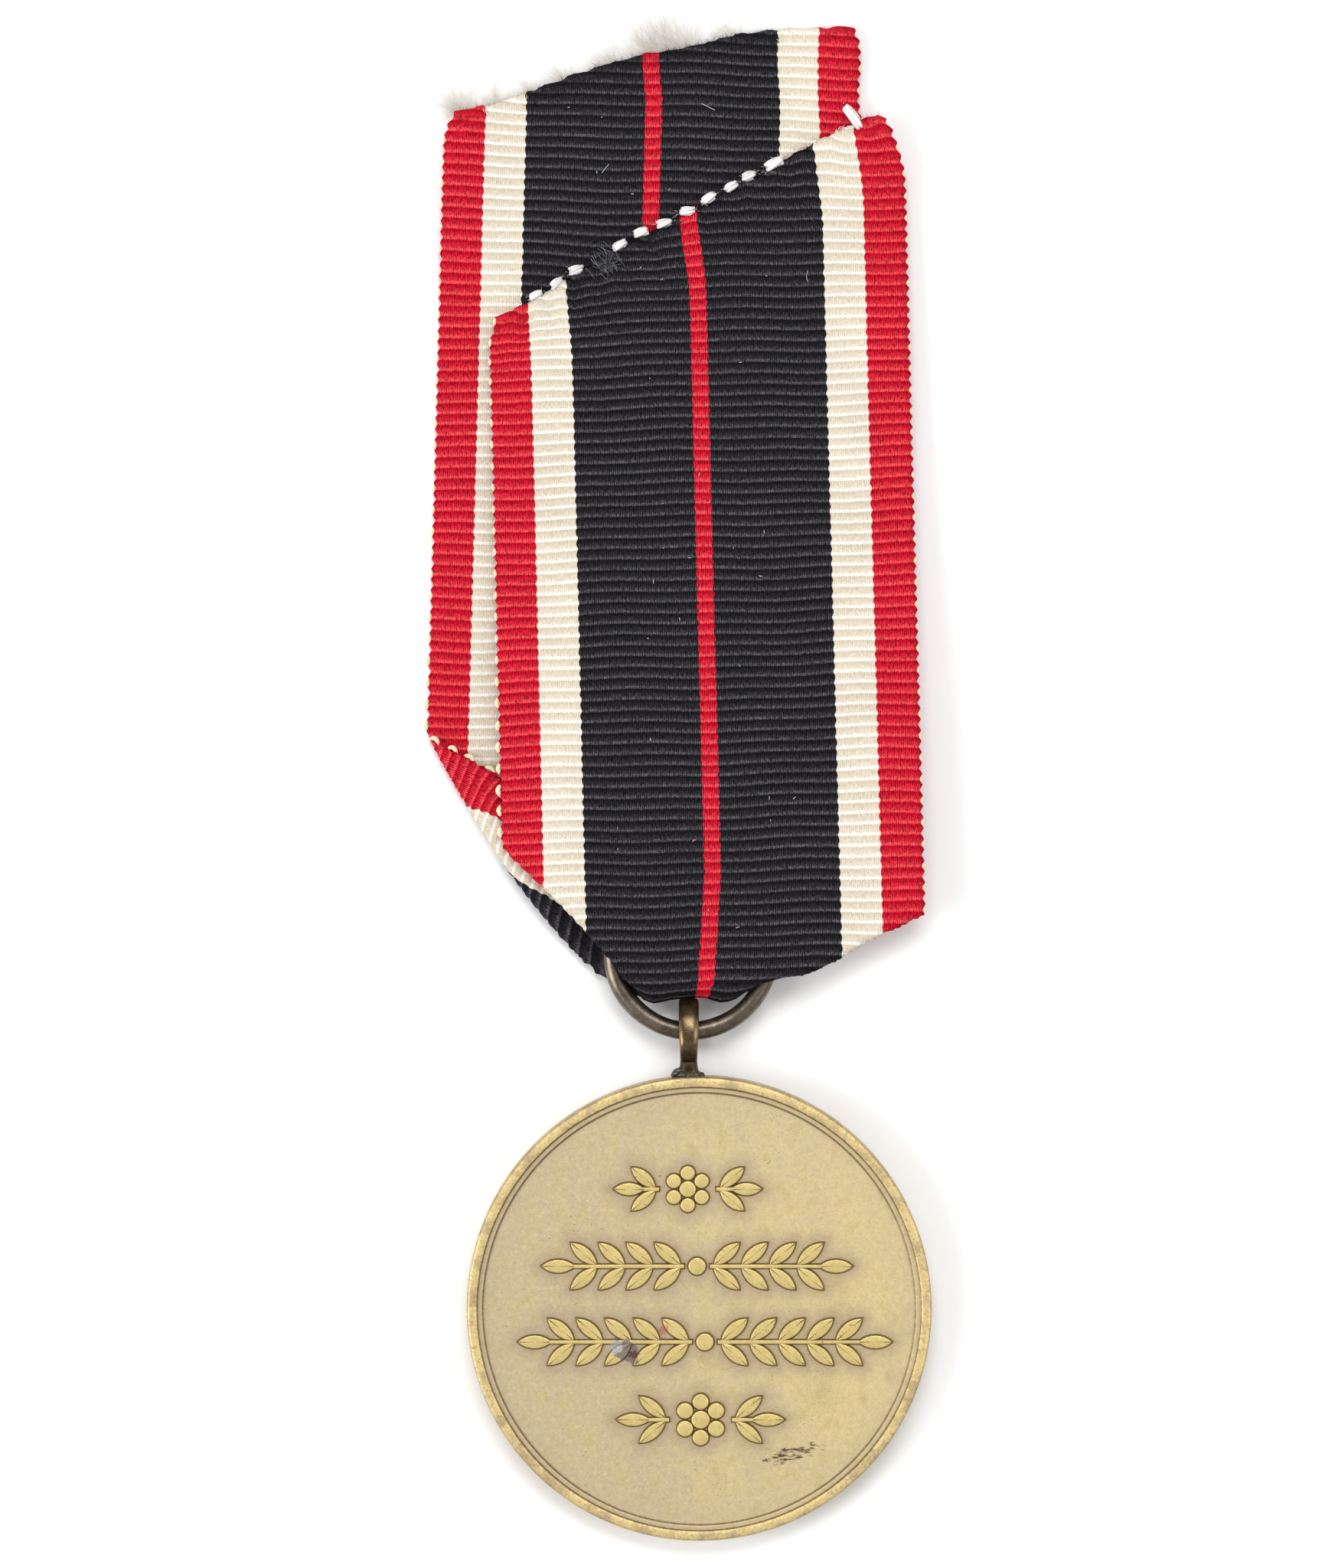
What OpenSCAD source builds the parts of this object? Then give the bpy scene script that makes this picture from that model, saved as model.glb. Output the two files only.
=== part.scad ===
// Service medal lying flat on its obverse, with a looped ribbon above it.
// Everything is drawn about the middle of the jump ring, X to the right, Y up
// the ribbon and Z away from the surface, then moved so that the middle of the
// whole outline is at the origin.

/* [Medal disc] */
// Diameter of the struck disc
disc_d = 32.5; // [30:0.5:36]
// Thickness of the disc at its rim
disc_t = 2.3; // [2:0.1:3]
// Width of the raised rim
rim_w = 0.75; // [0.5:0.05:1.2]
// Width of the lower step inside the rim
step_w = 0.38; // [0.2:0.02:0.6]
// Depth of the field below the rim, on each face
field_depth = 0.32; // [0.2:0.02:0.5]
// Height of the ornament above the field
relief_h = 0.24; // [0.1:0.02:0.28]
// Disc centre, to the right of the ring centre
disc_x = 0.58; // [-1:0.02:1]
// Disc centre, below the ring centre
disc_drop = 24.92; // [24.5:0.02:25.5]

/* [Suspension eye] */
// Width of the eye's bar, along the ring's wire
eye_w = 1.42; // [1.2:0.02:1.6]
// Thickness of the eye's bar, across the loop
eye_t = 0.9; // [0.7:0.05:1]
// Half of the loop's height, square to the disc
eye_half = 2.05; // [1.9:0.05:2.2]
// Length of the straight stretch between the loop's round ends
eye_straight = 0.6; // [0.3:0.05:0.8]
// Eye, to the right of the ring centre
eye_x = -0.15; // [-0.5:0.05:0.5]

/* [Jump ring] */
// Diameter of the ring, to the middle of its wire
ring_d = 11.05; // [10.8:0.05:11.4]
// Diameter of the ring's wire
wire_d = 1.3; // [1.1:0.05:1.4]
// Height of the ring above the surface
ring_z = 1.75; // [1.7:0.05:1.9]
// Gap between the butted ends of the wire
seam_gap = 0.06; // [0.04:0.01:0.2]

/* [Ribbon] */
// Thickness of one layer of ribbon
ribbon_t = 0.4; // [0.3:0.02:0.42]
// Clearance between the ring's wire and the ribbon
ring_clear = 0.15; // [0.1:0.01:0.2]
// Width of the turned-under hems
hem_w = 5; // [3:0.5:7]
// Lowest point of the ribbon's loop, below the ring centre
loop_drop = 2.85; // [2.6:0.01:2.9]

/* [Sewing thread] */
// Diameter of the thread
thread_d = 0.44; // [0.3:0.02:0.5]
// Length of one stitch
stitch_len = 0.85; // [0.6:0.05:1.1]
// Number of stitches along the hem
stitch_count = 13; // [6:1:18]

/* [Hidden] */
$fn = 64;
fine = 24;

disc_r = disc_d / 2;
half_t = disc_t / 2;
field_z = half_t - field_depth;
field_r = disc_r - rim_w - step_w;
edge_r = 0.14;

// The loop of the eye, seen along the ring's wire: two round ends and a straight
// stretch, standing on a neck that meets the edge of the disc.
eye_mid_r = eye_half - eye_t / 2;
ring_r = ring_d / 2;
eye_top_y = disc_drop - ring_r + 0.315;
eye_low_y = eye_top_y - eye_straight;
neck_w = 1.4;

// The disc leans so that its far rim and the underside of the eye both touch
// the surface.
lean = atan((eye_half - half_t) / (eye_low_y + disc_r));
disc_z = disc_r * tan(lean) + half_t;

// Heights of the ribbon's layers above the ring
tuck_z = ring_z + wire_d / 2 + ring_clear;
front_z = tuck_z + ribbon_t;
front_top = front_z + ribbon_t;

// The hem line: the turned edge of the front layer, from left to right
hem_left = [-13.9, 44.4];
hem_right = [13.9, 58.2];
hem_angle = atan2(hem_right.y - hem_left.y, hem_right.x - hem_left.x);
hem_len = norm(hem_right - hem_left);

// The front layer is level over the ring up to this line, then slopes down
level_y = 8;
front_slope = atan((front_z - ribbon_t * 2) / (hem_left.y + 6 - level_y));

// The top edge of the back layer, from left to right
top_left = [-16.9, 58.8];
top_right = [12.1, 64.7];
top_angle = atan2(top_right.y - top_left.y, top_right.x - top_left.x);
top_len = norm(top_right - top_left);

// The lowest corner of the fold on the left, where the back layer turns inward
back_corner = [-18.36, 15.06];

// Middle of the whole outline
mid_x = (back_corner.x + disc_x + disc_r) / 2;
mid_y = (top_right.y - disc_drop - disc_r) / 2;

module place() {
    translate([-mid_x, -mid_y, 0]) children();
}

// The medal's own axes: disc centre at the origin, eye towards +Y
module place_medal() {
    place()
    translate([disc_x, -disc_drop, disc_z])
    rotate([lean, 0, 0])
    children();
}

// ---- Ornament of the two faces ----

// A pointed leaf from the origin along +X
module leaf(len, wid) {
    arc_r = (len * len / 4 + wid * wid / 4) / wid;
    intersection() {
        translate([len / 2, arc_r - wid / 2]) circle(r = arc_r, $fn = 96);
        translate([len / 2, wid / 2 - arc_r]) circle(r = arc_r, $fn = 96);
    }
}

// A stem along +X with pairs of leaves and a last leaf at its tip
module spray(pairs, pitch, len, wid) {
    reach = pairs * pitch;
    translate([0, -0.14]) square([reach, 0.28]);
    for (i = [0 : pairs - 1], side = [-1, 1])
        translate([i * pitch + 0.25, side * 0.1])
        rotate(side * 40)
        leaf(len, wid);
    translate([reach - 0.2, 0]) leaf(len, wid);
}

module spray_pair(pairs, pitch, len, wid) {
    for (side = [0, 1])
        mirror([side, 0])
        translate([0.9, 0])
        spray(pairs, pitch, len, wid);
    circle(r = 0.62, $fn = fine);
}

// A flower of round petals
module rosette(petals, radius) {
    circle(r = radius * 0.34, $fn = fine);
    for (i = [0 : petals - 1])
        rotate(i * 360 / petals + 90)
        translate([radius * 0.66, 0])
        circle(r = radius * 0.3, $fn = fine);
}

// A flower with a short spray on each side
module flower_row(radius, pitch, len) {
    rosette(6, radius);
    for (side = [0, 1])
        mirror([side, 0])
        translate([radius + 0.3, 0])
        spray(1, pitch, len, 0.9);
}

module reverse_ornament() {
    translate([-0.8, 8.4]) flower_row(1.7, 1.2, 2.2);
    translate([-0.15, 3]) spray_pair(4, 1.95, 2.4, 0.95);
    translate([0.4, -2.3]) spray_pair(5, 2, 2.4, 0.95);
    translate([0.1, -7.75]) flower_row(1.9, 1.5, 2.4);
}

module obverse_ornament() {
    wreath_r = 11.6;
    leaf_step = 12;
    for (side = [0, 1])
        mirror([side, 0])
        for (a = [-78 : leaf_step : 66], lift = [-1, 1])
            rotate(a)
            translate([wreath_r + lift * 0.35, 0])
            rotate(90 - lift * 24)
            leaf(2.5, 0.95);
    star_r = [7, 2.9];
    polygon([for (i = [0 : 9]) let (a = 90 + i * 36) star_r[i % 2] * [cos(a), sin(a)]]);
}

// ---- Sub-parts ----

module medal_disc() {
    color([0.72, 0.62, 0.4])
    place_medal() {
        rotate_extrude($fn = 180)
        polygon([
            [0, -field_z], [field_r, -field_z], [field_r + 0.06, -field_z - field_depth / 2],
            [disc_r - rim_w, -field_z - field_depth / 2], [disc_r - rim_w + 0.06, -half_t],
            [disc_r - edge_r, -half_t], [disc_r, -half_t + edge_r],
            [disc_r, half_t - edge_r], [disc_r - edge_r, half_t],
            [disc_r - rim_w + 0.06, half_t], [disc_r - rim_w, field_z + field_depth / 2],
            [field_r + 0.06, field_z + field_depth / 2], [field_r, field_z], [0, field_z]
        ]);
        translate([0, 0, field_z - 0.02])
        linear_extrude(relief_h + 0.02)
        reverse_ornament();
        mirror([0, 0, 1])
        translate([0, 0, field_z - 0.02])
        linear_extrude(relief_h + 0.02)
        obverse_ornament();
    }
}

// Section of the eye's bar: a rectangle with round corners
module bar_section() {
    round_r = 0.32;
    square([eye_t - 2 * round_r, eye_w], center = true);
    square([eye_t, eye_w - 2 * round_r], center = true);
    for (sx = [-1, 1], sy = [-1, 1])
        translate([sx * (eye_t / 2 - round_r), sy * (eye_w / 2 - round_r)])
        circle(r = round_r, $fn = fine);
}

// One round end of the loop, from the side at -Z round to the side at +Z
module loop_end() {
    rotate([0, 90, 0])
    rotate_extrude(angle = 180, $fn = 96)
    translate([eye_mid_r, 0])
    bar_section();
}

module eye_neck() {
    translate([0, (disc_r + eye_low_y - eye_mid_r) / 2, 0])
    cube([eye_w - 0.1, eye_low_y - eye_mid_r - disc_r + 0.9, neck_w], center = true);
}

module suspension_eye() {
    color([0.45, 0.38, 0.22])
    place_medal()
    difference() {
        translate([eye_x - disc_x, 0, 0]) {
            translate([0, eye_top_y, 0]) loop_end();
            translate([0, eye_low_y, 0]) mirror([0, 1, 0]) loop_end();
            for (side = [-1, 1])
                translate([0, eye_low_y, side * eye_mid_r])
                rotate([-90, 0, 0])
                linear_extrude(eye_straight)
                rotate(90)
                bar_section();
            eye_neck();
        }
        cylinder(r = disc_r, h = disc_t * 2, center = true, $fn = 180);
    }
}

module eye_solder() {
    color([0.3, 0.29, 0.27])
    place_medal()
    difference() {
        translate([eye_x - disc_x, disc_r - 0.3, 0]) {
            rotate([-90, 0, 0]) cylinder(r1 = 1.14, r2 = 0.86, h = 0.72, $fn = 48);
            translate([-0.74, 0.56, 0.25]) sphere(r = 0.36, $fn = fine);
        }
        translate([eye_x - disc_x, 0, 0]) eye_neck();
        cylinder(r = disc_r, h = disc_t * 2, center = true, $fn = 180);
    }
}

module jump_ring() {
    color([0.42, 0.37, 0.31])
    place()
    translate([0, 0, ring_z])
    difference() {
        rotate_extrude($fn = 120)
        translate([ring_r, 0])
        circle(d = wire_d, $fn = 32);
        rotate(74)
        translate([ring_r, 0, 0])
        cube([wire_d * 2, seam_gap, wire_d * 2], center = true);
    }
}

// A flat layer of ribbon with the given outline, its underside at height z
module layer(z, outline, thick = ribbon_t) {
    translate([0, 0, z])
    linear_extrude(thick)
    polygon(outline);
}

// The turn of the loop inside the ring, from the back layer up to the front one
module loop_turn() {
    turn_r = front_top / 2;
    translate([-3.4, turn_r - loop_drop, turn_r])
    rotate([90, 0, 90])
    linear_extrude(6.8)
    intersection() {
        difference() {
            circle(r = turn_r);
            circle(r = turn_r - ribbon_t);
        }
        translate([-turn_r - 1, -turn_r - 1]) square([turn_r + 1.05, 2 * turn_r + 2]);
    }
}

// The sides of the loop, which rise inside the ring between the tucks
module loop_sides() {
    turn_y = front_top / 2 - loop_drop;
    translate([-3.4, turn_y, 0.1]) cube([ribbon_t, 4.3, front_top - 0.2]);
    translate([3, turn_y, 0.1]) cube([ribbon_t, 4.1, front_top - 0.2]);
}

module front_layer() {
    turn_y = front_top / 2 - loop_drop;
    left_low = [-13.25, 7.48];
    right_low = [16.2, 3.1];
    layer(front_z, [
        [-3.5, turn_y], [-3.6, -2.7], left_low + [9.4, -9.7], left_low, [-13.3, level_y + 0.1],
        [16.1, level_y + 0.1], right_low, [15.9, 2.5], [5.7, -2.8], [3.5, -2.75], [3.5, turn_y]
    ]);
    translate([0, level_y, front_z])
    rotate([-front_slope, 0, 0])
    translate([0, -level_y, 0]) {
        layer(0, [[-13.3, level_y], hem_left, hem_right, [14.5, 55.5], [16.1, level_y]]);
        translate(hem_left)
        rotate(hem_angle)
        layer(-ribbon_t, [[0.9, -hem_w], [0.3, 0], [hem_len - 0.2, 0], [hem_len - 2.7, -hem_w]]);
    }
}

module back_layer() {
    layer(0, [
        back_corner, [-12.4, 5.2], [-7.8, -0.4], [-5.2, -2.5], [-3.5, front_top / 2 - loop_drop],
        [3.5, front_top / 2 - loop_drop], [5.3, -2.4], [10.4, 1.6], [11.7, 58.5], top_right, top_left
    ]);
    translate(top_left)
    rotate(top_angle)
    layer(0, [[0.9, -hem_w], [0.1, -0.06], [top_len - 0.1, -0.06], [top_len - 1.5, -hem_w]], 2 * ribbon_t);
}

// The sides of the ribbon, folded inward so that they pass through the ring
module tucks() {
    layer(tuck_z, [
        [-13.25, 7.48], [-7.6, 1.85], [-4.2, -1.6], [-3.3, -1.2], [-3.3, 3.1], [-6, 6.7]
    ]);
    layer(tuck_z, [
        [16.1, 2.7], [11.4, 0.3], [6, -2.4], [3.3, -1.2], [3.3, 2.9], [9, 7]
    ]);
    layer(ribbon_t, [
        back_corner, [-12.4, 5.2], [-7.8, -0.4], [-5.2, -2.5], [-3.3, -1.2], [-3.3, 3.1],
        [-9.5, 10.2]
    ]);
    layer(ribbon_t, [
        [10.4, 1.6], [5.3, -2.4], [3.3, -1.2], [3.3, 2.9], [8, 5]
    ]);
}

module ribbon() {
    color([0.16, 0.15, 0.18])
    place() {
        back_layer();
        tucks();
        loop_turn();
        loop_sides();
        front_layer();
    }
}

// A short length of thread with round ends, along +X
module thread_bit(len) {
    rotate([0, 90, 0]) cylinder(d = thread_d, h = len, $fn = fine);
    for (x = [0, len])
        translate([x, 0, 0]) sphere(d = thread_d, $fn = fine);
}

module hem_stitches() {
    pitch = (hem_len - 6) / (stitch_count - 1);
    color([0.9, 0.89, 0.86])
    place()
    translate([hem_left.x, hem_left.y, ribbon_t + thread_d * 0.42])
    rotate(hem_angle)
    for (i = [0 : stitch_count - 1])
        translate([3 + i * pitch - stitch_len / 2, 0.24, 0])
        rotate(8 * sin(i * 97))
        thread_bit(stitch_len);
}

module thread_tufts() {
    color([0.93, 0.91, 0.86])
    place()
    translate([top_left.x, top_left.y, ribbon_t])
    rotate(top_angle)
    for (x = [1.6, 4.3, 6.7, 9.5, 13, 17.2, 19.8])
        translate([x, -0.3, 0])
        rotate(102 + 6 * sin(x * 83))
        thread_bit(1);
}

medal_disc();
suspension_eye();
eye_solder();
jump_ring();
ribbon();
hem_stitches();
thread_tufts();
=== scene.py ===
"""Looks of a service medal on a folded ribbon, lying flat on its obverse.

Sizes are in millimetres and are turned into metres when a mesh is made. Points of the ribbon, ring and
threads are given about the middle of the jump ring, with X to the right and Y up the ribbon. Points of the
disc and its eye are given about the middle of the disc, with Y towards the eye.
"""

import math

import bpy
import numpy as np
from mathutils import Matrix, Vector, kdtree


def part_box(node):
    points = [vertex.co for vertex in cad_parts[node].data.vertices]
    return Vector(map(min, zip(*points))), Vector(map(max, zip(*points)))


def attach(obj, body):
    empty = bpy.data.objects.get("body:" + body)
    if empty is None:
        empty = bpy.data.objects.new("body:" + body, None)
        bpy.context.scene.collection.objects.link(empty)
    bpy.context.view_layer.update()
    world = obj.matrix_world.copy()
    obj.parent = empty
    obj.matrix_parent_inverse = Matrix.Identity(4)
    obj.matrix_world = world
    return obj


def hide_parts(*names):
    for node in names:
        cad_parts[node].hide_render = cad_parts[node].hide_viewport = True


MM = 0.001

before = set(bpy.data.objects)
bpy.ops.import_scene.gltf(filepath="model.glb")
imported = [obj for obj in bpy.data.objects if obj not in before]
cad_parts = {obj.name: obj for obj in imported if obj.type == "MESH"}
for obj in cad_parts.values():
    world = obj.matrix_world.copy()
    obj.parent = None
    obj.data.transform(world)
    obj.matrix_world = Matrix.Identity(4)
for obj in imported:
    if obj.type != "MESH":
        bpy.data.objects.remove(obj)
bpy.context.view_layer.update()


def box_mm(node):
    low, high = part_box(node)
    return np.array(low) / MM, np.array(high) / MM


# ---- Places and sizes that the CAD frame gives ----

ring_low, ring_high = box_mm("jump_ring")
ring_mid = (ring_low + ring_high) / 2
wire_r = (ring_high[2] - ring_low[2]) / 2
ring_r = (ring_high[0] - ring_low[0]) / 2 - wire_r
ring_z = ring_mid[2]

disc_low, disc_high = box_mm("medal_disc")
disc_mid = (disc_low + disc_high) / 2
disc_r = (disc_high[0] - disc_low[0]) / 2
DISC_T = 2.3
disc_lean = math.asin((disc_high[2] - disc_low[2] - DISC_T) / 2 / (disc_r - 0.14))

eye_low, eye_high = box_mm("suspension_eye")

RING_FRAME = Matrix.Translation(Vector((ring_mid[0], ring_mid[1], 0)) * MM)
MEDAL_FRAME = Matrix.Translation(Vector(disc_mid) * MM) @ Matrix.Rotation(disc_lean, 4, "X")


# ---- Mesh helpers ----


def new_object(name, data):
    thing = bpy.data.objects.new(name, data)
    bpy.context.scene.collection.objects.link(thing)
    return thing


def to_object(name, verts, faces, material, place=RING_FRAME, marks=None):
    """A mesh object from points in millimetres in the given frame. marks are named values of each point."""
    mesh = bpy.data.meshes.new(name)
    mesh.from_pydata((np.asarray(verts, float) * MM).tolist(), [], [tuple(int(i) for i in f) for f in faces])
    mesh.update()
    mesh.polygons.foreach_set("use_smooth", [True] * len(mesh.polygons))
    for mark, values in (marks or {}).items():
        layer = mesh.attributes.new(mark, "FLOAT", "POINT")
        layer.data.foreach_set("value", np.asarray(values, np.float32))
    mesh.materials.append(material)
    thing = new_object(name, mesh)
    thing.matrix_world = place
    return thing


def ease(x):
    """0 below 0 and 1 above 1, with an eased step between them."""
    x = np.clip(x, 0.0, 1.0)
    return x * x * (3 - 2 * x)


def angles(count):
    """Evenly spaced angles round a full turn."""
    return np.linspace(0, math.tau, count, endpoint=False)


def at_height(xy, z):
    return np.column_stack([xy, np.full(len(xy), z)])


def bell(x):
    """1 at zero, falling away evenly on both sides."""
    return np.exp(-(x**2))


def unit(vectors):
    """The same directions, each of length 1."""
    return vectors / np.maximum(np.linalg.norm(vectors, axis=-1, keepdims=True), 1e-9)


def grid_faces(rows, cols, wrap_rows=False):
    """Quads of a grid of points that is stored row after row, with its last column joined to its first."""
    faces = []
    for i in range(rows if wrap_rows else rows - 1):
        this, below = i * cols, (i + 1) % rows * cols
        for j in range(cols):
            k = (j + 1) % cols
            faces.append((this + j, this + k, below + k, below + j))
    return faces


def tube_faces(rows, sides):
    """Quads round a tube, and a cap on each of its ends."""
    caps = [tuple(range(sides))[::-1], tuple(range((rows - 1) * sides, rows * sides))]
    return grid_faces(rows, sides) + caps


def reversed_faces(faces):
    return [f[::-1] for f in faces]


class Pile:
    """Gathers separate closed shapes into one mesh."""

    def __init__(self):
        self.verts, self.faces, self.marks = [], [], []

    def add(self, verts, faces, marks=None):
        start = len(self.verts)
        self.verts += [tuple(p) for p in verts]
        self.faces += [tuple(i + start for i in f) for f in faces]
        self.marks += list(marks) if marks is not None else [0.0] * len(verts)

    def finish(self, name, material, place=RING_FRAME, mark="tone"):
        return to_object(name, self.verts, self.faces, material, place, {mark: self.marks})


def tube(pile, path, radius, sides=6, mark=0.0):
    """A closed tube along the points of a path. radius is one number or one for each point."""
    path = np.asarray(path, float)
    ahead = unit(np.gradient(path, axis=0))
    up = np.array([0.0, 0.0, 1.0])
    if abs(ahead[0] @ up) > 0.9:
        up = np.array([1.0, 0.0, 0.0])
    turn = angles(sides)[:, None]
    verts = []
    for point, direction, r in zip(path, ahead, np.broadcast_to(radius, len(path))):
        side = unit(np.cross(direction, up))
        up = np.cross(side, direction)
        verts += list(point + r * (np.cos(turn) * side + np.sin(turn) * up))
    pile.add(verts, tube_faces(len(path), sides), [mark] * len(verts))


# ---- Ribbon: one strip, folded through the ring ----
# u runs across the strip from its left edge to its right one, v along it: negative on the front half,
# zero where it crosses the ring's plane, positive on the back half.

WIDTH = 29.34
HALF_W = WIDTH / 2
RIB = 0.757
CLOTH_T = 0.26
RIB_H = 0.06
FRONT_RIBS = 86
BACK_RIBS = 94

# Where each end of the strip is cut: places across it, and along it
FRONT_CUT = ((-HALF_W, 13.0, HALF_W), (-51.6, -63.1, -62.6))
BACK_CUT = ((-HALF_W, 12.6, HALF_W), (71.0, 71.0, 69.8))

# Heights of the cloth's middle: of the front layer near the ring and at its hem, and of the back layer
FRONT_Z = 3.2
HEM_Z = 1.2
BACK_Z = 0.24
# The round turn in the ring: its radius and its place
TURN_R = 1.48
TURN_ARC = TURN_R * math.pi / 2
TURN_Y = -1.85
# X of each half's middle at the turn, and how far the half leans along its length
FRONT_LAID = (1.73, 0.0251)
BACK_LAID = (-4.25, -0.0275)
# Radii of the bends, what the wide one adds, and how much the doubled top is thicker than the cloth
CREASE_R = 0.27
HEM_CREASE_R = 0.225
WIDE_BEND = 0.3
TOP_RISE = 0.42
STITCH_PITCH = 1.74
# A place that lies inside the outline of every fold
INSIDE = np.array([0.0, 25.0])

# The outline of each fold: its two ends, how far it bulges outward at places along it, and its small waves
FRONT_LEFT = (
    ((-13.25, 7.48), (-7.58, 1.85)),
    ((0, 0), (8, 0), (10, 0.12), (13, 0.55), (16, 0.75), (22, 0.75)),
    0,
)
FRONT_RIGHT = (((5.66, -2.79), (16.1, 2.57)), ((0, 0), (2.5, -0.05), (4.5, 0.1), (8, -0.1), (11.7, 0)), 0)
BACK_LEFT = (
    ((-18.36, 15.06), (-6.0, -1.94)),
    ((0, 0), (3, 0.38), (6.4, 0.71), (11.4, 0.92), (15, 0.8), (18.7, 0.45), (21, 0), (25, -0.6)),
    0,
)
BACK_RIGHT = (((4.9, -2.6), (10.6, 3.0)), ((0, 0), (8, 0)), 0)
HEM = (
    ((-14.1, 44.2), (13.6, 58.4)),
    ((0, 0), (2.7, -0.22), (5.8, 0.02), (10, 0.38), (15.5, 0.28), (21, 0.55), (24, 0.5), (27, 0.6),
     (28.4, 0.53), (29.1, 0.42), (30.2, 0.36), (30.8, 0.2), (31.3, -0.5)),
    0.06,
)
TOP = (
    ((-16.9, 58.8), (12.1, 64.75)),
    ((0, 0), (2.5, -0.1), (5.5, 0.25), (11, 1.0), (14, 1.2), (17.5, 1.08), (20.5, 1.24), (24, 0.95),
     (26.5, 0.5), (29.5, 0.1)),
    0.06,
)

# Where the strip crosses the ring's plane: u, x, y
CROSSING = np.array([
    (-HALF_W, -0.8, 3.3), (-11.5, -3.1, 2.6), (-8.5, -4.1, 0.2), (-6.2, -3.95, -2.1), (-4.6, -3.0, -3.35),
    (-2.4, -1.3, -3.2), (0.0, 0.8, -3.05), (2.2, 2.3, -3.4), (4.2, 3.55, -2.75), (6.0, 4.15, -1.3),
    (9.0, 3.9, 1.4), (12.0, 2.4, 3.4), (HALF_W, 0.2, 4.0),
])


def curve_at(table, u):
    """A smooth curve through the rows (u, x, y) of a table, at each u."""
    knots, points = table[:, 0], table[:, 1:]
    slopes = np.gradient(points, knots, axis=0)
    i = np.clip(np.searchsorted(knots, u) - 1, 0, len(knots) - 2)
    h = (knots[i + 1] - knots[i])[..., None]
    s = ((u - knots[i]) / h[..., 0])[..., None]
    return (
        (2 * s**3 - 3 * s**2 + 1) * points[i]
        + (s**3 - 2 * s**2 + s) * h * slopes[i]
        + (3 * s**2 - 2 * s**3) * points[i + 1]
        + (s**3 - s**2) * h * slopes[i + 1]
    )


def smooth_table(table, s):
    """Values of a small table (place, value) with eased steps between its rows."""
    table = np.array(table, float)
    return curve_at(np.column_stack([table, table[:, 1]]), np.clip(s, table[0, 0], table[-1, 0]))[..., 0]


def line_frame(crease):
    """The start and the direction of a fold's straight line, and the direction that counts as past it."""
    a, b = np.array(crease[0], float)
    along = unit(b - a)
    normal = np.array([-along[1], along[0]])
    if (INSIDE - a) @ normal > 0:
        normal = -normal
    return a, along, normal


def outline_at(crease, s):
    """How far a fold's outline stands out from its straight line at each place along it."""
    ripple = np.sin(s * math.tau / STITCH_PITCH + 0.9) + 0.6 * np.sin(s * 5.7 + 1.3)
    return smooth_table(crease[1], s) + crease[2] * ripple


def past_line(xy, crease):
    """How far each point lies past a fold's outline."""
    a, along, normal = line_frame(crease)
    return (xy - a) @ normal - outline_at(crease, (xy - a) @ along)


def fold(xy, z, crease, radius, down):
    """Turns what lies past a fold back under (down=1) or over (down=-1) the rest, round a bend of that
    radius, whose outline lies on the fold's."""
    past = past_line(xy, crease) + radius
    angle = np.clip(past / radius, 0, math.pi)
    reach = np.where(past > math.pi * radius, math.pi * radius - past, radius * np.sin(angle))
    moved = np.where(past > 0, reach - past, 0.0)
    return xy + moved[..., None] * line_frame(crease)[2], z - down * radius * (1 - np.cos(angle)), past


def laid(u, along, half):
    """X and Y on one half of the strip before it is folded. half is -1 for the front one, 1 for the back."""
    x, lean = FRONT_LAID if half < 0 else BACK_LAID
    return x + u - along * lean, TURN_Y + along + u * lean


def wander(u, v):
    """The strip's slight waviness along its length, as a shift in v."""
    return 0.08 * np.sin(u * 0.31 + v * 0.11) + 0.05 * np.sin(u * 0.83 - v * 0.23 + 1.0)


def round_corner(u, to_fold, most=0.75, reach=0.7):
    """How far the strip's edge draws in where it reaches a fold, so that the corner is round."""
    near = np.exp(-np.maximum(to_fold, 0) / reach)
    return np.sign(u) * most * ease((np.abs(u) - 11.6) / 3.07) * near


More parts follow.
